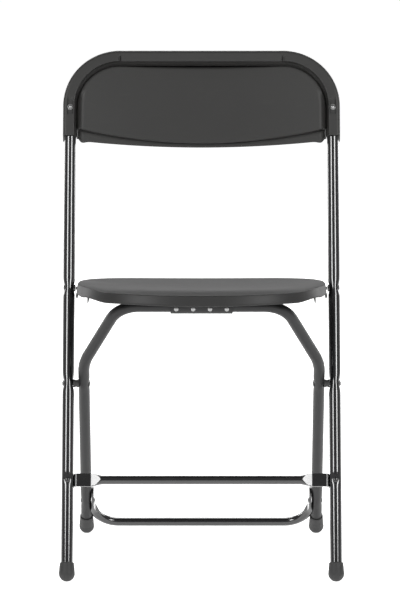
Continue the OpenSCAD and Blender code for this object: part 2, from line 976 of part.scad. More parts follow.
module strap_rivets() {
    color("dimgray")
    on_seat()
        strap_rivet_places() {
            translate([0, 0, under_h - strap_t])
                cylinder(r = strap_rivet_r, h = strap_t + strap_rivet_deep);
            translate([0, 0, under_h - strap_t])
                mirror([0, 0, 1])
                    dome(strap_head_r, strap_head_t);
        }
}

// Seat rail: a slotted steel angle under each side of the seat
rail_t = 1.4;
rail_rim = 3;
rail_side_gap = 21.5;                      // from the seat's side to the rail's outer face
rail_flange_w = 14;
rail_x = seat_half - rail_side_gap;
rail_in = rail_x - rail_t;
flange_in = rail_x - rail_flange_w;
rail_low_a = fold_a - slot_r - rail_rim;
rail_high_a = open_a + slot_r + rail_rim;
rail_top = seat_h - seat_t + seat_rise * pow(flange_in / seat_half, 2);

module seat_rail(side) {
    color("dimgray")
    on_seat()
        difference() {
            union() {
                slot_bar(slot_r + rail_rim, side * rail_in, side * rail_x);
                translate([min(side * rail_in, side * rail_x), 0, 0])
                    rotate([90, 0, 90])
                        linear_extrude(rail_t)
                            polygon([[rail_low_a, fold_h], [rail_high_a, open_h],
                                [rail_high_a, rail_top], [rail_low_a, rail_top]]);
                translate([min(side * flange_in, side * rail_x), rail_low_a, rail_top - rail_t])
                    cube([rail_flange_w, rail_high_a - rail_low_a, rail_t]);
            }
            slot_bar(slot_r, side * (rail_in - over), side * (seat_half + over));
            rail_rivet_places()
                cylinder(r = rail_rivet_r, h = bottomless);
            translate([-seat_half, -seat_front, rail_top])
                cube([2 * seat_half, seat_front + seat_rear, bottomless]);
        }
}

rail_head_r = 2.6;
rail_head_t = 1;

module rail_rivets() {
    color("silver")
    on_seat()
        rail_rivet_places() {
            translate([0, 0, rail_top - rail_t])
                cylinder(r = rail_rivet_r, h = rail_t + rail_rivet_deep);
            translate([0, 0, rail_top - rail_t])
                mirror([0, 0, 1])
                    dome(rail_head_r, rail_head_t);
        }
}

// Glide: a nylon shoe that slides in the rail and faces the seat pin
shoe_len = 16;
shoe_t = 2.6;
shoe_top = 1.2;                            // above the slot's middle, clear of the rail's flange
shoe_low = slot_r + 2;

module slide_glide(side) {
    color("ivory")
    on_seat()
        on_slot()
            translate([0, slot_len, 0]) {
                rod_x(slot_r - running, side * (rail_in - over), side * (seat_half + over));
                translate([side * (rail_in - running - shoe_t / 2) - shoe_t / 2, -shoe_len / 2, -shoe_low])
                    cube([shoe_t, shoe_len, shoe_low + shoe_top]);
            }
}

front_frame_tube();
backrest();
backrest_rivet(left);  // backrest_rivet_left
backrest_rivet(right);  // backrest_rivet_right
front_crossbar();
crossbar_rivet(left);  // crossbar_rivet_left
crossbar_rivet(right);  // crossbar_rivet_right
front_foot(left);  // front_foot_left
front_foot(right);  // front_foot_right
pivot_rivet(left);  // pivot_rivet_left
pivot_rivet(right);  // pivot_rivet_right
pivot_spacer(left);  // pivot_spacer_left
pivot_spacer(right);  // pivot_spacer_right
seat_pin(left);  // seat_pin_left
seat_pin(right);  // seat_pin_right
rear_leg_frame();
rear_brace();
brace_rivet(left);  // brace_rivet_left
brace_rivet(right);  // brace_rivet_right
rear_foot(left);  // rear_foot_left
rear_foot(right);  // rear_foot_right
seat();
hinge_strap();
hinge_liner();
liner_rivets();
strap_rivets();
seat_rail(left);  // seat_rail_left
seat_rail(right);  // seat_rail_right
rail_rivets();
slide_glide(left);  // slide_glide_left
slide_glide(right);  // slide_glide_right
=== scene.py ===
"""Folding chair: a black steel tube frame with a moulded seat and backrest, built around its CAD frame."""

import json
import math

import bmesh
import bpy
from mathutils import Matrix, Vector


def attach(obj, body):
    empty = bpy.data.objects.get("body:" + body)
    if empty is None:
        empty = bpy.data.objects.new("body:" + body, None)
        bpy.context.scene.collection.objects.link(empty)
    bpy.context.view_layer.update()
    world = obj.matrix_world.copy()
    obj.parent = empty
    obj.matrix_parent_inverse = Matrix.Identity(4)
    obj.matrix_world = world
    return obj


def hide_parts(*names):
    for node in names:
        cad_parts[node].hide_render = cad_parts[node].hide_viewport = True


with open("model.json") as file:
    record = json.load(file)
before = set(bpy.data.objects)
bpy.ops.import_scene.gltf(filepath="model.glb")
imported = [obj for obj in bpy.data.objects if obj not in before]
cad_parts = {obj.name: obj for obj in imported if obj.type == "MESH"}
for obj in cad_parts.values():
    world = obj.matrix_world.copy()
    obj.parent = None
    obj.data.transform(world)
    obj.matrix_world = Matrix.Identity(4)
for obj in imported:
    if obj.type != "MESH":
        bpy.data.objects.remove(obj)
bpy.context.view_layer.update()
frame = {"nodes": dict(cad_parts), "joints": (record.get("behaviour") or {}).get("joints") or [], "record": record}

bl_info = {
    "name": "Folding chair",
    "version": (1, 0, 0),
    "blender": (4, 5, 0),
    "location": "3D View > Sidebar > Folding chair",
    "description": "Builds the visible pieces and finishes of a steel and plastic folding chair",
    "category": "Add Mesh",
}

MM = 0.001
SIDES = ((-1, "left"), (1, "right"))

# ---------------------------------------------------------------- places on the chair, in millimetres

joints = {joint["name"]: joint for joint in frame["joints"]}
PIVOT = Vector(joints["fold"]["pos_m"])
HINGE = Vector(joints["seat_hinge"]["pos_m"])

FRAME_LEAN = math.radians(22)
REAR_LEAN = math.asin((PIVOT.y - HINGE.y) / (HINGE - PIVOT).length)
SEAT_TILT = math.radians(5.5)
SPLAY = math.tan(math.radians(0.6))
FOLDED_ANGLE = math.radians(3.4)
NEST_ANGLE = math.radians(1.5)

# Along the front frame, from the foot's tip
CROSSBAR_S = 160
PIVOT_S = 315
SEAT_PIN_S = 469
SLEEVE_LOW = 717
BACK_RIVET_S = 764
TUBE_TOP_S = 846.5

# Along the rear legs, from the scissor pivot
REAR_FOOT_T = -363
BRACE_RIVET_T = -284
KNEE_T = 48
LINK_T = 177


def leaning(origin, angle, x, through, along):
    """A point on a frame that leans: x across, through it to the rear, along it upward."""
    rise = Vector((0, math.sin(angle), math.cos(angle)))
    rear = Vector((0, math.cos(angle), -math.sin(angle)))
    return origin + (Vector((x, 0, 0)) + rear * through + rise * along) * MM


FRONT_FOOT = leaning(PIVOT, FRAME_LEAN, 0, 0, -PIVOT_S)


def on_front(x, n, s):
    """On the front frame: n to its rear, s up from the foot's tip."""
    return leaning(FRONT_FOOT, FRAME_LEAN, x, n, s)


def on_rear(x, m, t):
    """On the rear leg frame: m to its upper side, t up from the scissor pivot."""
    return leaning(PIVOT, -REAR_LEAN, x, m, t)


SEAT_REAR = Vector((0, math.cos(SEAT_TILT), -math.sin(SEAT_TILT)))
SEAT_UP = Vector((0, math.sin(SEAT_TILT), math.cos(SEAT_TILT)))


def on_seat(x, a, h):
    """On the seat: a to the rear of its hinge, h above the hinge."""
    return HINGE + (Vector((x, 0, 0)) + SEAT_REAR * a + SEAT_UP * h) * MM


def smooth(value, low, high):
    """0 below low, 1 above high, and an easy curve between them."""
    part = min(1, max(0, (value - low) / (high - low)))
    return part * part * (3 - 2 * part)


def bump_at(value, middle, width):
    """1 at the middle, falling away to 0 over the width."""
    return math.exp(-(((value - middle) / width) ** 2))


# ---------------------------------------------------------------- mesh tools

WELD = 0.02 * MM
SLIVER = 0.01 * MM
ON_AXIS = 0.01
BEND_STEP = math.radians(3)


class Shape:
    """Vertices and faces of one piece, gathered from several surfaces."""

    def __init__(self):
        self.points = []
        self.faces = []

    def rings(self, rings, closed=True, capped=True):
        """Faces between rings of points; closed rings join their last point to their first."""
        start = len(self.points)
        size = len(rings[0])
        for ring in rings:
            self.points += ring
        last = size if closed else size - 1
        for row in range(len(rings) - 1):
            low = start + row * size
            for k in range(last):
                after = (k + 1) % size
                self.faces.append((low + k, low + after, low + size + after, low + size + k))
        if capped and closed:
            self.faces.append(tuple(start + k for k in reversed(range(size))))
            end = start + (len(rings) - 1) * size
            self.faces.append(tuple(end + k for k in range(size)))
        return self

    def strip_caps(self, rings):
        """Closes both ends of a channel whose rings run out along its skin and back inside it."""
        size = len(rings[0])
        for ring in (rings[0], rings[-1]):
            start = len(self.points)
            self.points += ring
            for k in range(size // 2 - 1):
                self.faces.append((start + k, start + k + 1, start + size - 2 - k, start + size - 1 - k))
        return self

    def lathe(self, profile, base, axis, steps=40):
        """Turns a profile of (radius, height) in millimetres about an axis."""
        axis = axis.normalized()
        side = axis.orthogonal().normalized()
        other = axis.cross(side)
        spokes = [side * math.cos(turn) + other * math.sin(turn) for turn in full_turn(steps)]
        return self.rings([[base + (axis * height + spoke * max(radius, ON_AXIS)) * MM for spoke in spokes]
                           for radius, height in profile])

    def mesh(self, name):
        """All the surfaces in one mesh, welded and facing outward."""
        mesh = bpy.data.meshes.new(name)
        mesh.from_pydata(self.points, [], self.faces)
        work = bmesh.new()
        work.from_mesh(mesh)
        bmesh.ops.remove_doubles(work, verts=work.verts, dist=WELD)
        bmesh.ops.dissolve_degenerate(work, edges=work.edges, dist=SLIVER)
        bmesh.ops.recalc_face_normals(work, faces=work.faces)
        work.to_mesh(mesh)
        work.free()
        return mesh

    def piece(self, name, body, slot, nodes=(), sharp=38):
        """The finished piece, in its slot's finish, with sharp edges only where it folds."""
        mesh = self.mesh(name)
        mesh.shade_smooth()
        mesh.set_sharp_from_angle(angle=math.radians(sharp))
        mesh.materials.append(finish_of(slot))
        made = bpy.data.objects.new(name, mesh)
        bpy.context.scene.collection.objects.link(made)
        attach(made, body)
        if nodes:
            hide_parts(*nodes)
        return made


def full_turn(steps=32):
    """Angles of a whole turn."""
    return [2 * math.pi * k / steps for k in range(steps)]


def bent_path(points, radii, step):
    """Places and headings along straight stretches joined by round bends, in one plane."""
    points = [Vector(point) for point in points]
    headings = [(b - a).normalized() for a, b in zip(points, points[1:])]

    def turn_at(i):
        if i in (0, len(points) - 1):
            return 0
        before, after = headings[i - 1], headings[i]
        return math.atan2(before.cross(after), before.dot(after))

    places = []
    for i, heading in enumerate(headings):
        start = points[i] + heading * radii[i] * math.tan(abs(turn_at(i)) / 2)
        end = points[i + 1] - heading * radii[i + 1] * math.tan(abs(turn_at(i + 1)) / 2)
        count = max(1, math.ceil((end - start).length / step))
        places += [(start.lerp(end, k / count), heading) for k in range(count + 1)]
        turn = turn_at(i + 1)
        if turn:
            inward = Vector((-heading.y, heading.x)) * math.copysign(1, turn)
            centre = end + inward * radii[i + 1]
            count = max(2, math.ceil(abs(turn) / BEND_STEP))
            for k in range(1, count):
                swing = turn * k / count
                cos, sin = math.cos(swing), math.sin(swing)
                arm = -inward
                arm = Vector((arm.x * cos - arm.y * sin, arm.x * sin + arm.y * cos))
                along = Vector((heading.x * cos - heading.y * sin, heading.x * sin + heading.y * cos))
                places.append((centre + arm * radii[i + 1], along))
    return places


def swept(places, on_part, section):
    """Rings along a path; section gives (outward, through) pairs, and how far each hangs below its place."""
    rings = []
    for place, along in places:
        outward = Vector((-along.y, along.x))
        ring = []
        for out, through, *hang in section(place, along):
            spot = place + outward * out
            ring.append(on_part(spot.x, through, spot.y - sum(hang)))
        rings.append(ring)
    return rings


def arc(centre, radius, start, end, count):
    """Points of an arc in a section, from one angle to another in degrees."""
    turns = [math.radians(start + (end - start) * k / count) for k in range(count + 1)]
    return [(centre[0] + radius * math.cos(turn), centre[1] + radius * math.sin(turn)) for turn in turns]


def dome(radius, height, skirt, steps=7):
    """Profile of a domed rivet head above a short straight skirt."""
    bevel = 0.12
    profile = [(radius * 0.2, -skirt), (radius, -skirt), (radius, -0.1), (radius - bevel, bevel)]
    ball = (radius * radius + height * height) / (2 * height)
    for k in range(1, steps + 1):
        reach = (radius - bevel) * math.cos(math.pi / 2 * k / steps)
        profile.append((reach, height - ball + math.sqrt(ball * ball - reach * reach)))
    return profile


# ---------------------------------------------------------------- shader tools


class Varying:
    """A number that changes over a surface. Sums on it become Math nodes."""

    def __init__(self, shader, socket):
        self.shader = shader
        self.socket = socket

    def _math(self, operation, a, b):
        return self.shader.add("ShaderNodeMath", {"operation": operation}, {0: a, 1: b})

    def __add__(self, other):
        return self._math("ADD", self, other)

    def __radd__(self, other):
        return self._math("ADD", other, self)

    def __sub__(self, other):
        return self._math("SUBTRACT", self, other)

    def __mul__(self, other):
        return self._math("MULTIPLY", self, other)

    def __rmul__(self, other):
        return self._math("MULTIPLY", other, self)


class Finish:
    """A material with one Principled shader, and the nodes that vary it."""

    def __init__(self, name, **constants):
        self.material = bpy.data.materials.new(name)
        self.material.use_nodes = True
        self.tree = self.material.node_tree
        self.surface = self.tree.nodes["Principled BSDF"]
        for socket, value in constants.items():
            self.surface.inputs[socket.replace("_", " ").title().replace("Ior", "IOR")].default_value = value
        self.coordinates = self.add("ShaderNodeTexCoord", output="Object")

    def add(self, kind, settings=None, inputs=None, output=0):
        """A node of a kind: its settings first, then its sockets' values or links."""
        node = self.tree.nodes.new(kind)
        for name, setting in (settings or {}).items():
            if name == "stops":
                while len(node.color_ramp.elements) < len(setting):
                    node.color_ramp.elements.new(0.5)
                for element, (place, level) in zip(node.color_ramp.elements, setting):
                    element.position = place
                    element.color = (level, level, level, 1)
            else:
                setattr(node, name, setting)
        for name, value in (inputs or {}).items():
            if isinstance(value, Varying):
                self.tree.links.new(value.socket, node.inputs[name])
            else:
                node.inputs[name].default_value = value
        return Varying(self, node.outputs[output])

    def noise(self, scale, detail=2.0, stretch=(1, 1, 1)):
        """Soft noise, with scale in features to the metre."""
        spot = self.coordinates
        if stretch != (1, 1, 1):
            spot = self.add("ShaderNodeMapping", None, {"Vector": spot, "Scale": stretch})
        return self.add("ShaderNodeTexNoise", None, {"Vector": spot, "Scale": scale, "Detail": detail})

    def cells(self, scale):
        """Rounded cells of a moulded grain."""
        return self.add("ShaderNodeTexVoronoi", {"feature": "SMOOTH_F1"},
                        {"Vector": self.coordinates, "Scale": scale, "Smoothness": 0.6})

    def levels(self, value, low, high):
        """0 below low, 1 above high."""
        return self.add("ShaderNodeValToRGB", {"stops": ((low, 0.0), (high, 1.0))}, {"Fac": value})

    def mix(self, factor, first, second):
        """A colour between two colours."""
        return self.add("ShaderNodeMix", {"data_type": "RGBA"}, {0: factor, 6: first, 7: second}, output=2)

    def feed(self, socket, value):
        self.tree.links.new(value.socket, self.surface.inputs[socket])

    def bump(self, height, depth):
        """Raises the surface by a depth in millimetres where the height is 1."""
        self.feed("Normal", self.add("ShaderNodeBump", None,
                                     {"Height": height, "Strength": 1.0, "Distance": depth * MM}))


def shade(colour, factor):
    """A colour made lighter or darker."""
    return tuple(min(1, channel * factor) for channel in colour[:3]) + (1.0,)


def paint_finish(name, colour, roughness, coat, shine=0.5):
    """Gloss coating on steel: slight orange peel, faint clouding and tiny specks."""
    finish = Finish(name, coat_weight=coat, coat_roughness=0.05, specular_ior_level=shine)
    cloud = finish.noise(22, 3)
    peel = finish.noise(180, 2)
    speck = finish.levels(finish.noise(1300, 1), 0.68, 0.74)
    rub = finish.levels(finish.noise(60, 4, (1, 1, 0.25)), 0.55, 0.8)
    finish.feed("Base Color", finish.mix(speck * 0.5 + rub * 0.35, shade(colour, 1), shade(colour, 2.4)))
    finish.feed("Roughness", roughness + 0.06 * cloud + 0.12 * rub + 0.1 * speck)
    finish.bump(peel + 0.4 * cloud, 0.006)
    return finish.material


def steel_finish(name, colour, roughness):
    """Bright plated steel with fine turned scratches and a few dull patches."""
    finish = Finish(name, metallic=1.0)
    cloud = finish.noise(300, 3)
    scratch = finish.noise(2600, 3, (1, 1, 0.2))
    finish.feed("Base Color", finish.mix(cloud, shade(colour, 0.75), shade(colour, 1.15)))
    finish.feed("Roughness", roughness + 0.2 * cloud + 0.1 * scratch)
    finish.bump(scratch, 0.004)
    return finish.material


def plastic_finish(name, colour, roughness, grain, grain_depth, shine=0.5):
    """Moulded plastic with a fine grain, soft clouding and rubbed places."""
    finish = Finish(name, specular_ior_level=shine)
    cloud = finish.noise(9, 3)
    pits = finish.cells(grain)
    fine = finish.noise(grain * 2.2, 2)
    scuff = finish.levels(finish.noise(70, 5, (0.3, 1.6, 1)), 0.6, 0.78)
    finish.feed("Base Color", finish.mix(0.35 * cloud + 0.25 * pits + 0.2 * scuff,
                                         shade(colour, 0.8), shade(colour, 1.5)))
    finish.feed("Roughness", roughness + 0.08 * cloud + 0.06 * fine - 0.05 * scuff)
    finish.bump(pits + 0.5 * fine, grain_depth)
    return finish.material


def rubber_finish(name, colour):
    """Matte rubber with a little dust on it."""
    finish = Finish(name, roughness=0.7)
    dust = finish.levels(finish.noise(160, 4), 0.45, 0.8)
    fine = finish.noise(1800, 2)
    finish.feed("Base Color", finish.mix(0.4 * dust, shade(colour, 1), shade(colour, 3)))
    finish.feed("Roughness", 0.55 + 0.25 * dust)
    finish.bump(fine + dust, 0.02)
    return finish.material


def finish_of(slot):
    """The material for one of the record's slots, made once."""
    made = bpy.data.materials.get("finish_" + slot)
    if made:
        return made
    colours = bpy.context.scene.chair_colours
    name = "finish_" + slot
    return {
        "frame_paint": lambda: paint_finish(name, colours.frame_paint, 0.14, 1.0),
        "leg_paint": lambda: paint_finish(name, colours.leg_paint, 0.36, 0.0, 0.34),
        "rivet_paint": lambda: paint_finish(name, colours.leg_paint, 0.24, 0.5),
        "rivet_steel": lambda: steel_finish(name, colours.rivet_steel, 0.22),
        "bracket_steel": lambda: paint_finish(name, colours.leg_paint, 0.42, 0.0, 0.34),
        "back_plastic": lambda: plastic_finish(name, colours.back_plastic, 0.46, 1100, 0.03),
        "seat_plastic": lambda: plastic_finish(name, colours.seat_plastic, 0.42, 1500, 0.015, 0.4),
        "nylon": lambda: plastic_finish(name, colours.nylon, 0.42, 2500, 0.006),
        "rubber": lambda: rubber_finish(name, colours.rubber),
    }[slot]()


# ---------------------------------------------------------------- sizes and colours


def length(name, description, value):
    return bpy.props.FloatProperty(name=name, description=description, default=value * MM,
                                   unit="LENGTH", precision=4)


def colour(name, description, value):
    return bpy.props.FloatVectorProperty(name=name, description=description, default=value,
                                         subtype="COLOR", size=3, min=0, max=1)


class ChairSizes(bpy.types.PropertyGroup):
    """Sizes of the chair's visible pieces"""

    leg_x: length("Front leg", "Middle of a front leg, from the middle of the chair", 210.5)
    front_r: length("Front tube radius", "Outer radius of the front frame's tube", 9.5)
    corner_r: length("Front corner radius", "Radius of the front frame's top corners", 80)
    rear_x: length("Rear leg", "Middle of a rear leg at the scissor pivot", 185.5)
    rear_r: length("Rear tube radius", "Outer radius of the rear leg frame's tube", 9)
    bar_r: length("Bar radius", "Radius of the crossbar and of the brace", 7)
    flat_t: length("Flat thickness", "Thickness of the flattened bar ends", 3.5)
    crossbar_flat: length("Crossbar flat", "Half height of the crossbar's flattened ends", 10.5)
    arm_flat: length("Brace arm", "Half width of the brace's flattened arms", 10)
    brace_r: length("Brace bend", "Radius of the brace's two bends", 42)
    seat_half: length("Seat half width", "Middle of the seat to its side", 198.5)
    seat_front: length("Seat front", "Seat in front of its hinge", 72)
    seat_rear: length("Seat rear", "Seat behind its hinge", 318)
    seat_wide: length("Seat widest line", "Widest line of the seat behind its hinge", 130)
    seat_h: length("Seat top", "Top of the seat's front and rear edges above its hinge", 21.2)
    seat_rise: length("Seat rise", "Rise of the seat's top to its sides", 3.8)
    seat_curl: length("Seat curl", "Extra rise of the front corners' rolled edges", 4.2)
    seat_sag: length("Seat hollow", "Depth of the seat's hollow behind its hinge", 4.5)
    panel_hollow: length("Backrest hollow", "Hollow of the backrest's panel", 16)


class ChairColours(bpy.types.PropertyGroup):
    """Colours of the chair's finishes"""

    frame_paint: colour("Front frame", "Gloss coating of the front frame", (0.006, 0.006, 0.0065))
    leg_paint: colour("Rear legs", "Coating of the rear legs and brackets", (0.012, 0.012, 0.0123))
    rivet_steel: colour("Bright rivets", "Plated steel of the bright rivets", (0.34, 0.34, 0.34))
    back_plastic: colour("Backrest", "Plastic of the backrest", (0.015, 0.0147, 0.0138))
    seat_plastic: colour("Seat", "Plastic of the seat", (0.014, 0.0138, 0.0135))
    nylon: colour("Nylon", "Spacers, glides and hinge liner", (0.03, 0.03, 0.03))
    rubber: colour("Feet", "Rubber of the feet", (0.018, 0.018, 0.018))
    floor: colour("Floor", "Studio floor", (0.86, 0.86, 0.86))


def sizes(context):
    """The chair's sizes, in millimetres."""
    group = context.scene.chair_sizes
    return {name: getattr(group, name) / MM for name in ChairSizes.__annotations__}


# ---------------------------------------------------------------- pieces


class CHAIR_OT_front_tube(bpy.types.Operator):
    """Front frame: one bent tube, pressed in where its rivets pass"""

    bl_idname = "chair.front_tube"
    bl_label = "Front tube"

    def execute(self, context):
        size = sizes(context)
        r = size["front_r"]
        turns = full_turn()

        squeeze, bulge = 2.2, 0.6
        eye_deep = 1.9

        def section(place, along):
            """The tube's round, squeezed at the pivots and dented around the crossbar's rivet."""
            ring = []
            upright = abs(along.y)
            pinched = (bump_at(place.y, PIVOT_S, 9) + bump_at(place.y, SEAT_PIN_S, 8)) * upright
            eye = bump_at(place.y, CROSSBAR_S, 6.5) * upright
            for turn in turns:
                out, through = r * math.cos(turn), r * math.sin(turn)
                level = abs(math.cos(turn)) ** 1.6
                out -= math.copysign(squeeze * pinched * level, out)
                through += math.copysign(bulge * pinched * abs(math.sin(turn)), through)
                front = max(0, -math.sin(turn))
                through += eye_deep * eye * front ** 5
                ring.append((out, through))
            return ring

        low = 9.5
        x = size["leg_x"]
        places = bent_path([(-x, low), (-x, TUBE_TOP_S), (x, TUBE_TOP_S), (x, low)],
                           [0, size["corner_r"], size["corner_r"], 0], 2.5)
        shape = Shape().rings(swept(places, on_front, section))
        shape.piece("front_tube", "front_frame", "frame_paint", ["front_frame_tube"])
        return {"FINISHED"}


class CHAIR_OT_rear_tube(bpy.types.Operator):
    """Rear leg frame: one bent tube, pressed flatter at the scissor pivots and the brace"""

    bl_idname = "chair.rear_tube"
    bl_label = "Rear tube"

    def execute(self, context):
        size = sizes(context)
        r = size["rear_r"]
        turns = full_turn()

        squeeze, bulge = 1.1, 0.5

        def section(place, along):
            """The tube's round, squeezed a little at the scissor pivot and the brace's rivet."""
            ring = []
            upright = abs(along.y)
            pinched = (bump_at(place.y, 0, 9) + 0.8 * bump_at(place.y, BRACE_RIVET_T, 9)) * upright
            for turn in turns:
                out, through = r * math.cos(turn), r * math.sin(turn)
                out -= math.copysign(squeeze * pinched * abs(math.cos(turn)) ** 1.6, out)
                through += math.copysign(bulge * pinched * abs(math.sin(turn)), through)
                ring.append((out, through))
            return ring

        low = REAR_FOOT_T + 11.5
        low_x = size["rear_x"] - low * SPLAY
        knee_x = size["rear_x"] - KNEE_T * SPLAY
        top_half, top_r, knee_r = 128, 48, 90
        places = bent_path([(-low_x, low), (-knee_x, KNEE_T), (-top_half, LINK_T),
                            (top_half, LINK_T), (knee_x, KNEE_T), (low_x, low)],
                           [0, knee_r, top_r, top_r, knee_r, 0], 3)
        shape = Shape().rings(swept(places, on_rear, section))
        shape.piece("rear_tube", "rear_legs", "leg_paint", ["rear_leg_frame"])
        return {"FINISHED"}


def flattened(half_tall, slab, radius, steps=40):
    """Section of a round bar pressed between two flat faces a slab apart."""
    ring = []
    for k in range(steps):
        turn = 2 * math.pi * (k + 0.5) / steps
        across = max(-slab, min(slab, radius * math.cos(turn)))
        ring.append((across, half_tall * math.sin(turn)))
    return ring


class CHAIR_OT_crossbar(bpy.types.Operator):
    """Front crossbar: a round bar pressed flat near its ends, which step back behind the legs"""

    bl_idname = "chair.crossbar"
    bl_label = "Front crossbar"

    def execute(self, context):
        size = sizes(context)
        slab = size["flat_t"] / 2
        r = size["bar_r"]
        flat_n, step_gap, lug_reach, step_r = -1, 0.4, 8.5, 3.2
        bar_n = flat_n - slab
        lug_n = size["front_r"] + slab
        step_x = size["leg_x"] - size["front_r"] - step_gap - slab
        end_x = size["leg_x"] + lug_reach
        press_in, press_len = 158, 16
        flare_in, flare_out = 154, 174
        end_round = 6
        half = [(0, bar_n), (step_x, bar_n), (step_x, lug_n), (end_x, lug_n)]
        whole = [(-x, n) for x, n in reversed(half[1:])] + half
        places = bent_path(whole, [0, step_r, step_r, 0, step_r, step_r, 0], 1.5)
        rings = []
        for place, along in places:
            x = abs(place.x)
            press = min(1, max(0, (x - press_in) / press_len))
            tall = r + (size["crossbar_flat"] - r) * smooth(x, flare_in, flare_out)
            keep = 1 - (1 - slab / r) * press
            rounding = math.sqrt(max(0, 1 - (max(0, x - end_x + end_round) / (end_round + 0.2)) ** 2))
            outward = Vector((-along.y, along.x))
            ring = []
            for across, up in flattened(tall * (0.35 + 0.65 * rounding), r * keep, r * (1 + 0.8 * press)):
                spot = place + outward * across
                ring.append(on_front(spot.x, spot.y, CROSSBAR_S + up))
            rings.append(ring)
        shape = Shape().rings(rings)
        shape.piece("crossbar", "front_frame", "frame_paint", ["front_crossbar"], sharp=30)
        return {"FINISHED"}


class CHAIR_OT_brace(bpy.types.Operator):
    """Rear brace: a bent bar whose flattened arms lie against the legs' inner faces"""

    bl_idname = "chair.brace"
    bl_label = "Rear brace"

    def execute(self, context):
        size = sizes(context)
        slab = size["flat_t"] / 2
        r = size["bar_r"]
        low = REAR_FOOT_T + 24
        top = BRACE_RIVET_T + 28
        end_round = 10

        def arm_x(t):
            return size["rear_x"] - size["rear_r"] - slab - t * SPLAY

        places = bent_path([(-arm_x(top), top), (-arm_x(low), low), (arm_x(low), low), (arm_x(top), top)],
                           [0, size["brace_r"], size["brace_r"], 0], 1.5)
        rings = []
        for place, along in places:
            press = smooth(place.y, low + 22, low + 50)
            wide = r + (size["arm_flat"] - r) * smooth(place.y, low + 26, low + 52)
            near_end = max(0, place.y - (top - end_round)) / (end_round + 0.2)
            wide *= math.sqrt(max(0.02, 1 - near_end * near_end))
            keep = 1 - (1 - slab / r) * press
            outward = Vector((-along.y, along.x))
            ring = []
            for across, through in flattened(wide, r * keep, r * (1 + 0.8 * press)):
                spot = place + outward * across
                ring.append(on_rear(spot.x, through, spot.y))
            rings.append(ring)
        shape = Shape().rings(rings)
        shape.piece("brace", "rear_legs", "frame_paint", ["rear_brace"], sharp=30)
        return {"FINISHED"}


# Backrest: its rim is a channel over the tube, narrower in the corners and along the top

BAND_OUTER = 11.5
BAND_INNER = 7
BAND_FACE = -13.1
BAND_BORE = 9.55
BAND_TOP_END = 129.4
POCKET_HALF = 12.4
POCKET_DEEP = 2.9


def band_section(place, along):
    """Skin of the rim and back inside it, with the rivet's pocket in its front face."""
    edge, lip = 5.5, 1.3
    on_top = smooth(BAND_TOP_END - abs(place.x), 0, 0.8) if place.y > TUBE_TOP_S - 1 else 0
    notch = bump_at(abs(place.x), BAND_TOP_END + 1, 1.1) if place.y > TUBE_TOP_S - 4 else 0
    face = BAND_FACE + 0.5 * on_top
    end = smooth(place.y, SLEEVE_LOW - 0.2, SLEEVE_LOW + 1.2)

    # Outer side and front face, with close steps at the pocket's two walls
    skin = arc((0, 0), BAND_OUTER, 52, 0, 8)
    skin += arc((BAND_OUTER - edge, face + edge), edge, 0, -90, 8)
    skin += [(out, face + on_top * 0.16 * (edge - out)) for out in
             (5.3, 5.02, 4.95, 4, 3, 2, 1, 0, -1, -2, -3, -4, -5, -5.15, -5.22, -edge)]

    # Inner side, back around the tube
    skin += arc((-BAND_INNER + lip, face + lip + 1.8 * on_top), lip, -90, -180, 4)
    skin += [(-BAND_INNER, -9.2), (-BAND_INNER - 0.1, -8), (-8.6, -6), (-10.3, -3), (-10.7, 0)]
    skin += [(-11.2 * math.cos(math.radians(turn)), BAND_OUTER * math.sin(math.radians(turn)))
             for turn in (12, 24, 36, 46, 52)]

    skin = [(out, through + 3 * notch * smooth(-out, -3.5, -1) * (through < -9)) for out, through in skin]
    above = abs(place.y - BACK_RIVET_S)
    if above < POCKET_HALF + 0.1 and abs(along.y) > 0.99:
        depth = POCKET_DEEP * (1 - smooth(above, POCKET_HALF - 0.1, POCKET_HALF + 0.1))
        skin = [(out, face + depth) if -5.2 < out < 5 and through < face + 1 else (out, through)
                for out, through in skin]
    inside = []
    for out, through in reversed(skin):
        reach = math.hypot(out, through)
        inside.append((out * BAND_BORE / reach, through * BAND_BORE / reach))

    # The outer wall hangs lower than the front face, and the end is drawn in a little
    hang = 1 - smooth(place.y, SLEEVE_LOW + 1, SLEEVE_LOW + 16)
    grow = 0.955 + 0.045 * end
    return [(out * grow, through * grow, 7.5 * hang * smooth(through, -7.5, -5.5) * smooth(out, 5, 6.5))
            for out, through in skin + inside]


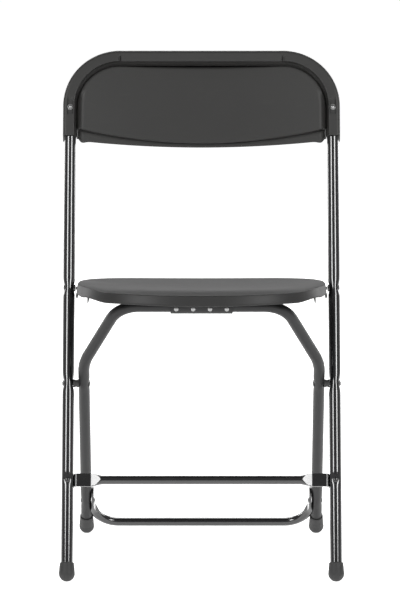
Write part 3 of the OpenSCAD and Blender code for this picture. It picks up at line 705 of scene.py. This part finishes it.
class CHAIR_OT_backrest(bpy.types.Operator):
    """Backrest: a rim that snaps over the tube, with a hollow panel whose lower edge turns back"""

    bl_idname = "chair.backrest"
    bl_label = "Backrest"

    def execute(self, context):
        size = sizes(context)
        x = size["leg_x"]
        corner = size["corner_r"]

        # Rim
        places = bent_path([(-x, SLEEVE_LOW), (-x, TUBE_TOP_S), (x, TUBE_TOP_S), (x, SLEEVE_LOW)],
                           [0, corner, corner, 0], 2)
        extra = [BACK_RIVET_S + offset for offset in (-12.6, -12.35, -12.1, 12.1, 12.35, 12.6)]
        straight = sorted({round(place.y, 3) for place, along in places if along.y > 0.99} | set(extra)
                          | {SLEEVE_LOW + 0.6, SLEEVE_LOW + 1.3})
        straight = [s for s in straight if s <= TUBE_TOP_S - corner]
        bends = [(place, along) for place, along in places if abs(along.y) <= 0.9999]
        top_left = [entry for entry in bends if entry[0].x < -(x - corner) - 0.01]
        top_right = [entry for entry in bends if entry[0].x > (x - corner) + 0.01]
        marks = [*range(0, 101, 20), 115, 125]
        marks += [BAND_TOP_END + offset for offset in (-1.2, -0.6, -0.2, 0.2, 0.6, 1)]
        across = sorted({-mark for mark in marks} | set(marks))
        up, down, over = Vector((0, 1)), Vector((0, -1)), Vector((1, 0))
        path = [(Vector((-x, s)), up) for s in straight]
        path += top_left
        path += [(Vector((mark, TUBE_TOP_S)), over) for mark in across]
        path += top_right
        path += [(Vector((x, s)), down) for s in reversed(straight)]
        rings = swept(path, on_front, band_section)
        shape = Shape().rings(rings, capped=False).strip_caps(rings)

        # Panel: rows whose ends follow the rim's inner edge
        tuck = 10.1
        half = x - tuck
        side_n, low_side, low_middle = -6, 730, 710.3
        edge_rows = [(half, low_side + (TUBE_TOP_S - corner - low_side) * k / 12) for k in range(12)]
        for place, along in top_left:
            outward = Vector((-along.y, along.x))
            turn = math.degrees(math.atan2(place.y - TUBE_TOP_S + corner, abs(place.x) - x + corner))
            edge = place - outward * (tuck - (tuck - BAND_INNER + 0.3) * smooth(turn, 8, 40))
            edge_rows.append((-edge.x, edge.y))
        edge_rows.append((x - corner - 0.5, TUBE_TOP_S - BAND_INNER - 0.4))
        top = edge_rows[-1][1]
        edge_rows = [row for row in edge_rows if row[1] <= top]
        count = 72
        lip_deep, lip_t, panel_t = 11, 2.9, 3

        def hollow(px):
            """How far behind the tube's middle the panel's front face lies."""
            return side_n + size["panel_hollow"] * (1 - (px / half) ** 2)

        def low_edge(px):
            return low_middle + (low_side - low_middle) * (abs(px) / half) ** 2

        def lip_low(px):
            """Lower edge of the turned-back lip, with a lobe near each end."""
            lobe = 2.4 * bump_at(abs(px), half - 9.4, 6.5)
            return low_middle - 5.4 + 5.4 * (px / 172) ** 2 - lobe + 4 * smooth(abs(px), 194, 199)

        def edge_gap(px, s):
            """Distance to the rim, inside its inner edge."""
            inner = corner - 8
            dx = abs(px) - (half - inner)
            ds = s - (top - inner)
            return inner - math.hypot(max(dx, 0), max(ds, 0)) - min(max(dx, ds), 0)

        rings = []
        for k in range(count + 1):
            u = math.sin(math.pi / 2 * (2 * k / count - 1))
            front = []
            for row_x, row_s in reversed(edge_rows):
                v = (row_s - low_side) / (top - low_side)
                px = u * row_x
                s = low_edge(u * half) + (top - low_edge(u * half)) * v
                gap = edge_gap(px, s)
                low_down = 1 - smooth(s, 772, 800)
                roll = 4 * math.exp(-((gap / 2.2) ** 2)) - 4.6 * low_down * bump_at(gap, 4.4, 2.2)
                front.append((px, hollow(px) + roll, s))
            px = u * half
            base, lip = low_edge(px), lip_low(px)
            n = front[-1][1]
            front.pop()
            back = n + lip_deep
            profile = [(n + 0.15, base + 1.6), (n + 0.6, base + 0.6), (n + 1.6, base),
                       (back - 1.5, base - 0.1), (back - 0.4, base - 0.6), (back, base - 1.8),
                       (back, lip + 1), (back + 0.4, lip + 0.2), (back + 1.4, lip), (back + 2.4, lip + 0.2),
                       (back + lip_t, lip + 1), (back + lip_t, base + 2), (back + 2, base + panel_t),
                       (n + 4.5, base + panel_t), (n + 3.2, base + 4)]
            ring = front + [(px, through, s) for through, s in profile]
            ring += [(fx * 0.998, through + panel_t, s) for fx, through, s in reversed(front)]
            rings.append([on_front(*point) for point in ring])
        shape.rings(rings)

        # Shelf from the panel's upper edge forward under the rim
        shelf_half, shelf_steps = 128, 48
        rings = []
        for k in range(shelf_steps + 1):
            px = shelf_half * (2 * k / shelf_steps - 1)
            n = hollow(px) + 5
            rings.append([on_front(px, through, s) for through, s in (
                (-9.8, top + 0.2), (-9.8, top + 3.2), (n, top + 3.2), (n + 1.5, top + 1.6),
                (n + 1.5, top - 1), (n, top - 1.2), (n - 1, top + 0.2))])
        shape.rings(rings)
        shape.piece("backrest_shell", "front_frame", "back_plastic", ["backrest"], sharp=34)
        return {"FINISHED"}


# Seat

FRONT_POWER = 2.6
REAR_POWER = 6


def seat_edge(turn, inset, size):
    """Point of the seat's outline at an angle around its widest line."""
    side = abs(math.sin(turn))
    run = math.cos(turn)
    half = size["seat_half"] - inset
    depth, power = ((size["seat_front"] + size["seat_wide"] - inset, FRONT_POWER) if run > 0
                    else (size["seat_rear"] - size["seat_wide"] - inset, REAR_POWER))
    reach = ((side / half) ** power + (abs(run) / depth) ** power) ** (-1 / power)
    return reach * math.sin(turn), size["seat_wide"] - reach * run


class CHAIR_OT_seat(bpy.types.Operator):
    """Seat: a dished top with a rounded edge and a skirt, slots in the skirt and ribs below"""

    bl_idname = "chair.seat"
    bl_label = "Seat"

    def execute(self, context):
        size = sizes(context)
        turns = full_turn(192)
        skin, wall, edge, draft = 3, 2.5, 1.8, 3.2

        def top(x, a):
            """Height of the dished top, which curls up at the front corners."""
            part = abs(x) / size["seat_half"]
            rise = size["seat_rise"] * part ** 2 * (1 - 0.65 * smooth(a, 180, 318))
            curl = size["seat_curl"] * smooth(abs(x), 148, 190) * (1 - smooth(a, 130, 270))
            back = max(0, a - 170) / (size["seat_rear"] - 170)
            sag = size["seat_sag"] * smooth(a, 10, 170) * (1 - back * back) * (1 - 0.5 * part ** 2)
            return size["seat_h"] + rise + curl - sag

        def low(x, a):
            """Height of the skirt's lower edge, which climbs to the front corners."""
            corner = 4.7 + 2.3 * smooth(abs(x), 10, 130) + 5.3 * smooth(abs(x), 145, 180)
            return max(3, min(corner, 12.3 - 9.3 * max(0, a - 16) / 110))

        def ring(inset, height, scale=1.0):
            points = []
            for turn in turns:
                x, a = seat_edge(turn, inset, size)
                x, a = x * scale, size["seat_wide"] + (a - size["seat_wide"]) * scale
                points.append(on_seat(x, a, height(x, a)))
            return points

        def wall_height(part):
            """Height at a part of the way up the skirt's outer face."""
            def height(x, a):
                foot = low(x, a) + 0.8
                return foot + (top(x, a) - edge - foot) * part
            return height

        # Underside, the skirt's inner face and its lower edge
        rings = [ring(wall + draft, lambda x, a: top(x, a) - skin, scale)
                 for scale in (0.01, 0.3, 0.6, 0.85, 0.97)]
        rings += [ring(wall + draft, lambda x, a: top(x, a) - skin - 0.6),
                  ring(wall, lambda x, a: low(x, a) + 0.4), ring(wall - 0.4, low),
                  ring(0.7, low), ring(0.15, lambda x, a: low(x, a) + 0.25), ring(0, wall_height(0))]

        # The skirt's outer face, the rolled edge and the top
        rings += [ring(draft * k / 4, wall_height(k / 4)) for k in (1, 2, 3)]
        for k in range(6):
            roll = math.pi / 2 * k / 5
            rings.append(ring(draft + edge * (1 - math.cos(roll)),
                              lambda x, a, roll=roll: top(x, a) - edge * (1 - math.sin(roll))))
        rings += [ring(draft + edge, top, scale) for scale in
                  (0.99, 0.975, 0.955, 0.93, 0.9, 0.86, 0.81, 0.75, 0.68, 0.6, 0.5, 0.4, 0.3, 0.2, 0.1, 0.01)]
        shape = Shape().rings(rings)

        # Ribs under the top
        rib_a, rib_len, rib_steps, rib_fade = 34, size["seat_rear"] - 80, 12, 5
        for k in range(-2, 3):
            middle = k * size["seat_half"] * 0.3
            rib = []
            for step in range(rib_steps + 1):
                a = rib_a + rib_len * step / rib_steps
                level = size["rear_r"] + 1 + rib_fade * (1 - smooth(a, 34, 46) + smooth(a, 256, 271))
                rib.append([on_seat(middle + x, a, h) for x, h in (
                    (-1, min(level, top(middle, a) - skin)), (1, min(level, top(middle, a) - skin)),
                    (1.2, top(middle, a) - skin + 0.6), (-1.2, top(middle, a) - skin + 0.6))])
            shape.rings(rib)
        seat = shape.piece("seat_shell", "seat_panel", "seat_plastic", ["seat"])
        self.cut_slots(context, seat)
        return {"FINISHED"}

    def cut_slots(self, context, seat):
        """Opens the slot of each seat rail through the skirt, between the glide's folded and open places."""
        arm = SEAT_PIN_S - PIVOT_S
        nested = FOLDED_ANGLE + NEST_ANGLE
        fold = (LINK_T * math.cos(NEST_ANGLE) - arm * math.cos(nested),
                arm * math.sin(nested) - LINK_T * math.sin(NEST_ANGLE))
        pin = (on_front(0, 0, SEAT_PIN_S) - HINGE) / MM
        opened = (pin.dot(SEAT_REAR), pin.dot(SEAT_UP))
        r = 2.6
        cut_in, cut_out = 184.5, 201
        lean = math.degrees(math.atan2(opened[1] - fold[1], opened[0] - fold[0]))
        outline = arc(fold, r, lean + 90, lean + 270, 12) + arc(opened, r, lean - 90, lean + 90, 12)
        cutter_shape = Shape()
        for side, _ in SIDES:
            cutter_shape.rings([[on_seat(side * x, a, h) for a, h in outline]
                                for x in (cut_in, cut_out)])
        cutter = bpy.data.objects.new("slot_cutter", cutter_shape.mesh("slot_cutter"))
        context.scene.collection.objects.link(cutter)
        cut = seat.modifiers.new("slots", "BOOLEAN")
        cut.operation = "DIFFERENCE"
        cut.solver = "EXACT"
        cut.object = cutter
        result = bpy.data.meshes.new_from_object(seat.evaluated_get(context.evaluated_depsgraph_get()))
        seat.modifiers.clear()
        seat.data = result
        result.shade_smooth()
        result.set_sharp_from_angle(angle=math.radians(38))
        bpy.data.objects.remove(cutter)


# Feet, rivets, pins and spacers


class CHAIR_OT_feet(bpy.types.Operator):
    """Feet: rubber cups with a rounded end, pressed flat where they stand"""

    bl_idname = "chair.feet"
    bl_label = "Feet"

    def execute(self, context):
        size = sizes(context)
        squash = 0.8
        for side, word in SIDES:
            for row, body, place, lean, leg, tip, splay, ball, tube, tall in (
                    ("front", "front_frame", on_front, FRAME_LEAN, size["leg_x"], 0, 0,
                     12.6, size["front_r"], 17),
                    ("rear", "rear_legs", on_rear, REAR_LEAN, size["rear_x"], REAR_FOOT_T, SPLAY,
                     12.3, size["rear_r"], 26)):
                t = tip + (ball - squash) / math.cos(lean)
                x = leg - t * splay
                base = place(side * x, 0, t)
                axis = place(side * (x - 10 * splay), 0, t + 10) - base
                profile = [(ball * math.sin(math.radians(turn)), -ball * math.cos(math.radians(turn)))
                           for turn in range(0, 91, 6)]
                rim = tube + 1.8
                waist = ball - 0.55
                profile += [(ball - 0.15, 2.5), (ball - 0.45, 6), (waist - 0.07, 6.6), (waist, 7.2)]
                profile += [(rim + (waist - rim) * (1 - smooth(k, 0, 6)), 7.4 + (tall - 9.4) * k / 6)
                            for k in range(1, 6)]
                profile += [(rim, tall - 1.4), (rim - 0.2, tall - 0.5), (rim - 0.7, tall),
                            (tube + 0.5, tall - 0.1), (tube + 0.05, tall - 0.6), (tube + 0.05, tall - 8),
                            (tube - 2, tall - 8.1)]
                shape = Shape().lathe(profile, base, axis, 48)
                shape.points = [Vector((point.x, point.y, max(0, point.z))) for point in shape.points]
                shape.piece(f"{row}_foot_cup_{word}", body, "rubber", [f"{row}_foot_{word}"])
        return {"FINISHED"}


class CHAIR_OT_pivots(bpy.types.Operator):
    """Scissor pivots and seat pins: domed rivets in pressed hollows, with spacers between the tubes"""

    bl_idname = "chair.pivots"
    bl_label = "Pivots and pins"

    def execute(self, context):
        size = sizes(context)
        out_x = size["leg_x"] + size["front_r"]
        in_x = size["leg_x"] - size["front_r"]
        rear_out = size["rear_x"] + size["rear_r"]
        rear_in = size["rear_x"] - size["rear_r"]
        head = dome(5.6, 1.5, 1.6)
        sunk = 1.9
        for side, word in SIDES:
            across = Vector((side, 0, 0))
            rivet = Shape()
            rivet.lathe(head, on_front(side * (out_x - sunk), 0, PIVOT_S), across)
            rivet.lathe([(0, 0), (3.2, 0), (3.2, out_x - rear_in), (0, out_x - rear_in)],
                        on_front(side * rear_in, 0, PIVOT_S), across)
            rivet.lathe(dome(5.8, 2, 1.0), on_front(side * (rear_in + 0.7), 0, PIVOT_S), -across)
            rivet.piece(f"pivot_head_{word}", "front_frame", "rivet_paint", [f"pivot_rivet_{word}"])
            spacer = Shape()
            start, end = rear_out - 0.9, in_x + 1.5
            long = end - start
            bore, body, flange = 3.26, 5.7, 6.3
            spacer.lathe([(bore, 0), (5.9, 0), (flange, 0.5), (flange, 2.6), (body, 3.1), (body, long - 3),
                          (flange, long - 2.5), (flange, long - 0.5), (5.9, long), (bore, long)],
                         on_front(side * start, 0, PIVOT_S), across)
            spacer.piece(f"pivot_washers_{word}", "front_frame", "nylon", [f"pivot_spacer_{word}"])
            pin = Shape()
            pin.lathe(head, on_front(side * (out_x - sunk), 0, SEAT_PIN_S), across)
            pin.lathe([(0, 0), (3.0, 0), (5.0, 0.3), (5.4, 0.8), (5.4, 3.4), (0, 3.4)],
                      on_front(side * (in_x - 0.95), 0, SEAT_PIN_S), across)
            pin.piece(f"seat_pin_head_{word}", "front_frame", "rivet_paint", [f"seat_pin_{word}"])
        return {"FINISHED"}


class CHAIR_OT_rivets(bpy.types.Operator):
    """Small rivets: bright ones in the backrest's pockets, coated ones at the crossbar and the brace"""

    bl_idname = "chair.rivets"
    bl_label = "Small rivets"

    def execute(self, context):
        size = sizes(context)
        rearward = on_front(0, 1, 0) - on_front(0, 0, 0)
        for side, word in SIDES:
            x = side * size["leg_x"]
            bright = Shape()
            bright.lathe(dome(3.6, 1.9, 0.4), on_front(x, -10.5, BACK_RIVET_S), -rearward)
            bright.lathe([(4.7, 0), (4.7, 0.3), (4.4, 0.45), (3.2, 0.45)], on_front(x, -10.3, BACK_RIVET_S),
                         -rearward)
            bright.piece(f"backrest_rivet_head_{word}", "front_frame", "rivet_steel",
                         [f"backrest_rivet_{word}"])
            coated = Shape()
            coated.lathe(dome(4.6, 1.7, 0.8), on_front(x, -size["front_r"] + 1.5, CROSSBAR_S), -rearward)
            coated.lathe(dome(5, 1.9, 0.4), on_front(x, size["front_r"] + size["flat_t"], CROSSBAR_S),
                         rearward)
            coated.piece(f"crossbar_rivet_heads_{word}", "front_frame", "rivet_paint",
                         [f"crossbar_rivet_{word}"])
            leg_x = size["rear_x"] - BRACE_RIVET_T * SPLAY
            inward = Vector((-side, 0, 0))
            brace = Shape()
            brace.lathe(dome(4.6, 2.1, 0.3),
                        on_rear(side * (leg_x - size["rear_r"] - size["flat_t"]), 0, BRACE_RIVET_T), inward)
            brace.lathe(dome(4.4, 1.6, 0.8),
                        on_rear(side * (leg_x + size["rear_r"] - 0.9), 0, BRACE_RIVET_T), -inward)
            brace.piece(f"brace_rivet_heads_{word}", "rear_legs", "rivet_paint", [f"brace_rivet_{word}"])
        return {"FINISHED"}


class CHAIR_OT_hardware(bpy.types.Operator):
    """Hinge, rails and glides under the seat: the CAD solids with finished surfaces"""

    bl_idname = "chair.hardware"
    bl_label = "Hinge and rails"

    def execute(self, context):
        slots = {part["node"]: part["material_slot"] for part in frame["record"]["subparts"]}
        for name, node in frame["nodes"].items():
            if node.hide_render:
                continue
            node.data.materials.clear()
            node.data.materials.append(finish_of(slots[name]))
        return {"FINISHED"}


class CHAIR_OT_stage(bpy.types.Operator):
    """Studio: pale floor, soft lights and the camera"""

    bl_idname = "chair.stage"
    bl_label = "Studio"

    def execute(self, context):
        scene = context.scene
        scene.view_settings.view_transform = "Standard"
        mesh = bpy.data.meshes.new("studio_floor")
        reach = 40
        mesh.from_pydata([(-reach, -reach, 0), (reach, -reach, 0), (reach, reach, 0), (-reach, reach, 0)],
                         [], [(0, 1, 2, 3)])
        floor = bpy.data.objects.new("studio_floor", mesh)
        scene.collection.objects.link(floor)
        finish = Finish("studio_floor", roughness=0.9, emission_color=(1, 1, 1, 1), emission_strength=0.8)
        speck = finish.noise(30, 3)
        pale = scene.chair_colours.floor
        finish.feed("Base Color", finish.mix(speck, shade(pale, 0.98), shade(pale, 1.02)))
        mesh.materials.append(finish.material)

        world = bpy.data.worlds.new("studio_air")
        scene.world = world
        world.use_nodes = True
        nodes, links = world.node_tree.nodes, world.node_tree.links
        direction = nodes.new("ShaderNodeTexCoord")
        parts = nodes.new("ShaderNodeSeparateXYZ")
        ramp = nodes.new("ShaderNodeValToRGB")
        for element, (place, level) in zip(ramp.color_ramp.elements, ((0.02, 0.5), (0.4, 0.22))):
            element.position = place
            element.color = (level, level, level, 1)
        links.new(direction.outputs["Generated"], parts.inputs[0])
        links.new(parts.outputs["Z"], ramp.inputs["Fac"])
        links.new(ramp.outputs["Color"], nodes["Background"].inputs["Color"])
        nodes["Background"].inputs["Strength"].default_value = 1.0

        def softbox(name, place, aim, wide, tall, power):
            lamp = bpy.data.lights.new(name, "AREA")
            lamp.shape = "RECTANGLE"
            lamp.size = wide
            lamp.size_y = tall
            lamp.energy = power
            box = bpy.data.objects.new(name, lamp)
            box.location = place
            box.rotation_euler = (Vector(aim) - Vector(place)).to_track_quat("-Z", "Y").to_euler()
            scene.collection.objects.link(box)

        aim = (0, 0, 0.45)
        for side, word in SIDES:
            softbox("front_box_" + word, (side * 2.1, -2.4, 2.35), aim, 1.0, 1.6, 62)
            softbox("rear_box_" + word, (side * 2.8, 2.4, 1.3), aim, 0.8, 1.6, 30)
        softbox("rear_overhead", (0, 2.6, 2.8), aim, 3.0, 1.0, 60)

        camera_data = bpy.data.cameras.new("studio_camera")
        camera_data.lens = 217.5
        camera_data.sensor_width = 36
        camera = bpy.data.objects.new("studio_camera", camera_data)
        camera.location = (-0.0024, -5.639, 1.4163)
        camera.rotation_euler = (math.radians(80), 0, 0)
        scene.collection.objects.link(camera)
        scene.camera = camera
        return {"FINISHED"}


BUILDERS = (
    CHAIR_OT_stage, CHAIR_OT_front_tube, CHAIR_OT_rear_tube, CHAIR_OT_crossbar, CHAIR_OT_brace,
    CHAIR_OT_backrest, CHAIR_OT_seat, CHAIR_OT_feet, CHAIR_OT_pivots, CHAIR_OT_rivets, CHAIR_OT_hardware,
)


class CHAIR_PT_panel(bpy.types.Panel):
    """Lists the chair's builders"""

    bl_idname = "CHAIR_PT_panel"
    bl_label = "Folding chair"
    bl_space_type = "VIEW_3D"
    bl_region_type = "UI"
    bl_category = "Folding chair"

    def draw(self, context):
        for builder in BUILDERS:
            self.layout.operator(builder.bl_idname)
        for group in (context.scene.chair_sizes, context.scene.chair_colours):
            for name in type(group).__annotations__:
                self.layout.prop(group, name)


CLASSES = (ChairSizes, ChairColours, *BUILDERS, CHAIR_PT_panel)


def register():
    for entry in CLASSES:
        bpy.utils.register_class(entry)
    bpy.types.Scene.chair_sizes = bpy.props.PointerProperty(type=ChairSizes)
    bpy.types.Scene.chair_colours = bpy.props.PointerProperty(type=ChairColours)


def unregister():
    del bpy.types.Scene.chair_colours
    del bpy.types.Scene.chair_sizes
    for entry in reversed(CLASSES):
        bpy.utils.unregister_class(entry)


def main():
    register()
    for builder in BUILDERS:
        group, name = builder.bl_idname.split(".")
        getattr(getattr(bpy.ops, group), name)()


if __name__ == "__main__":
    main()
